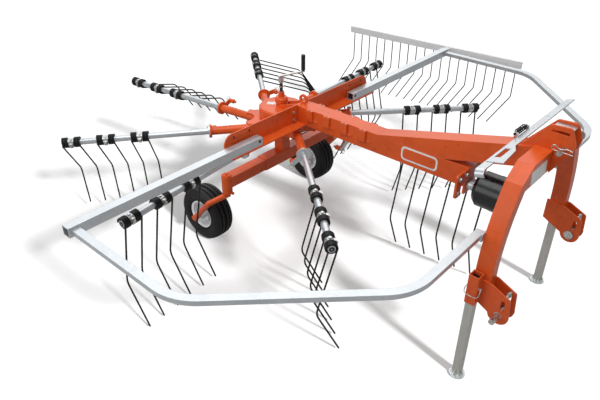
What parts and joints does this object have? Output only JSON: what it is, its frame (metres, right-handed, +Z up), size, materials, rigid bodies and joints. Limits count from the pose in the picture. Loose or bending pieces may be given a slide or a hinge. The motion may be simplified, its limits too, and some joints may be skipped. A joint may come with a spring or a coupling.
{
  "type": "single rotor hay rake",
  "caption": "Tractor mounted hay rake with one rotor of cam-lifted tine arms, castor wheels, headstock, parking stands, guard rails and a sliding swath curtain.",
  "frame": {"origin": "on the floor, under the middle of the machine seen from above", "axes": "+X forward to the tractor, along the drive shaft; +Y to the machine's left, along the lower link pins; +Z up"},
  "size_m": [3.1898, 3.3606, 1.224],
  "materials": {
    "orange_paint": "satin",
    "galvanised_steel": "satin",
    "black_spring_wire": "satin",
    "tyre_rubber": "matte",
    "silver_rim": "satin",
    "grey_stand_tube": "satin",
    "black_plastic": "satin",
    "plated_steel": "satin"
  },
  "bodies": {
    "frame": {"arm_rack": "galvanised_steel", "axle_beam": "orange_paint", "bearing_sleeve": "galvanised_steel", "boom": "orange_paint", "boom_flange": "orange_paint", "boom_strut": "orange_paint", "column": "orange_paint", "crank_grip": "black_plastic", "cross_beam_left": "orange_paint", "cross_beam_right": "orange_paint", "gearbox": "orange_paint", "guard_rail_left": "galvanised_steel", "guard_rail_right": "galvanised_steel", "headstock_arch": "orange_paint", "height_crank": "plated_steel", "hitch_bracket_left": "orange_paint", "hitch_bracket_right": "orange_paint", "hitch_pin_left": "plated_steel", "hitch_pin_right": "plated_steel", "lifting_eye": "orange_paint", "mast_plates": "orange_paint", "shaft_guard": "black_plastic", "side_bar_left": "galvanised_steel", "side_bar_right": "galvanised_steel", "top_link_pin": "plated_steel"},
    "rotor": {"rotor_hub": "orange_paint"},
    "drive": {"drive_shaft": "plated_steel"},
    "curtain": {"curtain_carrier": "galvanised_steel", "curtain_tines": "black_spring_wire"},
    "arm_1": {"tine_arm_1": "galvanised_steel", "tines_1": "black_spring_wire"},
    "arm_2": {"tine_arm_2": "galvanised_steel", "tines_2": "black_spring_wire"},
    "arm_3": {"tine_arm_3": "galvanised_steel", "tines_3": "black_spring_wire"},
    "arm_4": {"tine_arm_4": "galvanised_steel", "tines_4": "black_spring_wire"},
    "arm_5": {"tine_arm_5": "galvanised_steel", "tines_5": "black_spring_wire"},
    "arm_6": {"tine_arm_6": "galvanised_steel", "tines_6": "black_spring_wire"},
    "arm_7": {"tine_arm_7": "galvanised_steel", "tines_7": "black_spring_wire"},
    "arm_8": {"tine_arm_8": "galvanised_steel", "tines_8": "black_spring_wire"},
    "castor_left": {"castor_left": "orange_paint"},
    "wheel_left": {"rim_left": "silver_rim", "tyre_left": "tyre_rubber"},
    "stand_left": {"stand_left": "grey_stand_tube"},
    "castor_right": {"castor_right": "orange_paint"},
    "wheel_right": {"rim_right": "silver_rim", "tyre_right": "tyre_rubber"},
    "stand_right": {"stand_right": "grey_stand_tube"}
  },
  "joints": [
    {"name": "rotor_turns", "type": "hinge", "parent": "frame", "child": "rotor", "pos_m": [-0.21712, -0.05525, 0.707], "axis": [0, 0, 1], "continuous": true},
    {"name": "drive_shaft_turns", "type": "hinge", "parent": "frame", "child": "drive", "pos_m": [1.31788, -0.05525, 0.765], "axis": [1, 0, 0], "continuous": true},
    {"name": "arm_roll_1", "type": "hinge", "parent": "rotor", "child": "arm_1", "pos_m": [-0.1444, -0.04889, 0.707], "axis": [0.0871, -0.996, -0.0218], "range_deg": [-60, 0]},
    {"name": "arm_roll_2", "type": "hinge", "parent": "rotor", "child": "arm_2", "pos_m": [-0.1702, 0.00067, 0.707], "axis": [0.7659, -0.6426, -0.0218], "range_deg": [-60, 0]},
    {"name": "arm_roll_3", "type": "hinge", "parent": "rotor", "child": "arm_3", "pos_m": [-0.22348, 0.01747, 0.707], "axis": [0.996, 0.0871, -0.0218], "range_deg": [-60, 0]},
    {"name": "arm_roll_4", "type": "hinge", "parent": "rotor", "child": "arm_4", "pos_m": [-0.27304, -0.00833, 0.707], "axis": [0.6426, 0.7659, -0.0218], "range_deg": [-60, 0]},
    {"name": "arm_roll_5", "type": "hinge", "parent": "rotor", "child": "arm_5", "pos_m": [-0.28984, -0.06162, 0.707], "axis": [-0.0871, 0.996, -0.0218], "range_deg": [-60, 0]},
    {"name": "arm_roll_6", "type": "hinge", "parent": "rotor", "child": "arm_6", "pos_m": [-0.26404, -0.11118, 0.707], "axis": [-0.7659, 0.6426, -0.0218], "range_deg": [0, 60]},
    {"name": "arm_roll_7", "type": "hinge", "parent": "rotor", "child": "arm_7", "pos_m": [-0.21076, -0.12798, 0.707], "axis": [-0.996, -0.0871, -0.0218], "range_deg": [0, 60]},
    {"name": "arm_roll_8", "type": "hinge", "parent": "rotor", "child": "arm_8", "pos_m": [-0.1612, -0.10218, 0.707], "axis": [-0.6426, -0.7659, -0.0218], "range_deg": [-30, 30]},
    {"name": "castor_swivel_left", "type": "hinge", "parent": "frame", "child": "castor_left", "pos_m": [-0.21712, 0.43974, 0.512], "axis": [0, 0, 1], "range_deg": [-35, 35]},
    {"name": "wheel_turns_left", "type": "hinge", "parent": "castor_left", "child": "wheel_left", "pos_m": [-0.40712, 0.45975, 0.18], "axis": [0, 1, 0], "continuous": true},
    {"name": "stand_slides_left", "type": "slide", "parent": "frame", "child": "stand_left", "axis": [0, 0, 1], "range_m": [0, 0.32]},
    {"name": "castor_swivel_right", "type": "hinge", "parent": "frame", "child": "castor_right", "pos_m": [-0.21712, -0.55026, 0.512], "axis": [0, 0, 1], "range_deg": [-35, 35]},
    {"name": "wheel_turns_right", "type": "hinge", "parent": "castor_right", "child": "wheel_right", "pos_m": [-0.40712, -0.57025, 0.18], "axis": [0, 1, 0], "continuous": true},
    {"name": "stand_slides_right", "type": "slide", "parent": "frame", "child": "stand_right", "axis": [0, 0, 1], "range_m": [0, 0.32]},
    {"name": "curtain_slides", "type": "slide", "parent": "frame", "child": "curtain", "axis": [0, 1, 0], "range_m": [0, 0.3]}
  ],
  "couplings": [
    {"joint": "drive_shaft_turns", "follows": "rotor_turns", "ratio": 7.2}
  ]
}
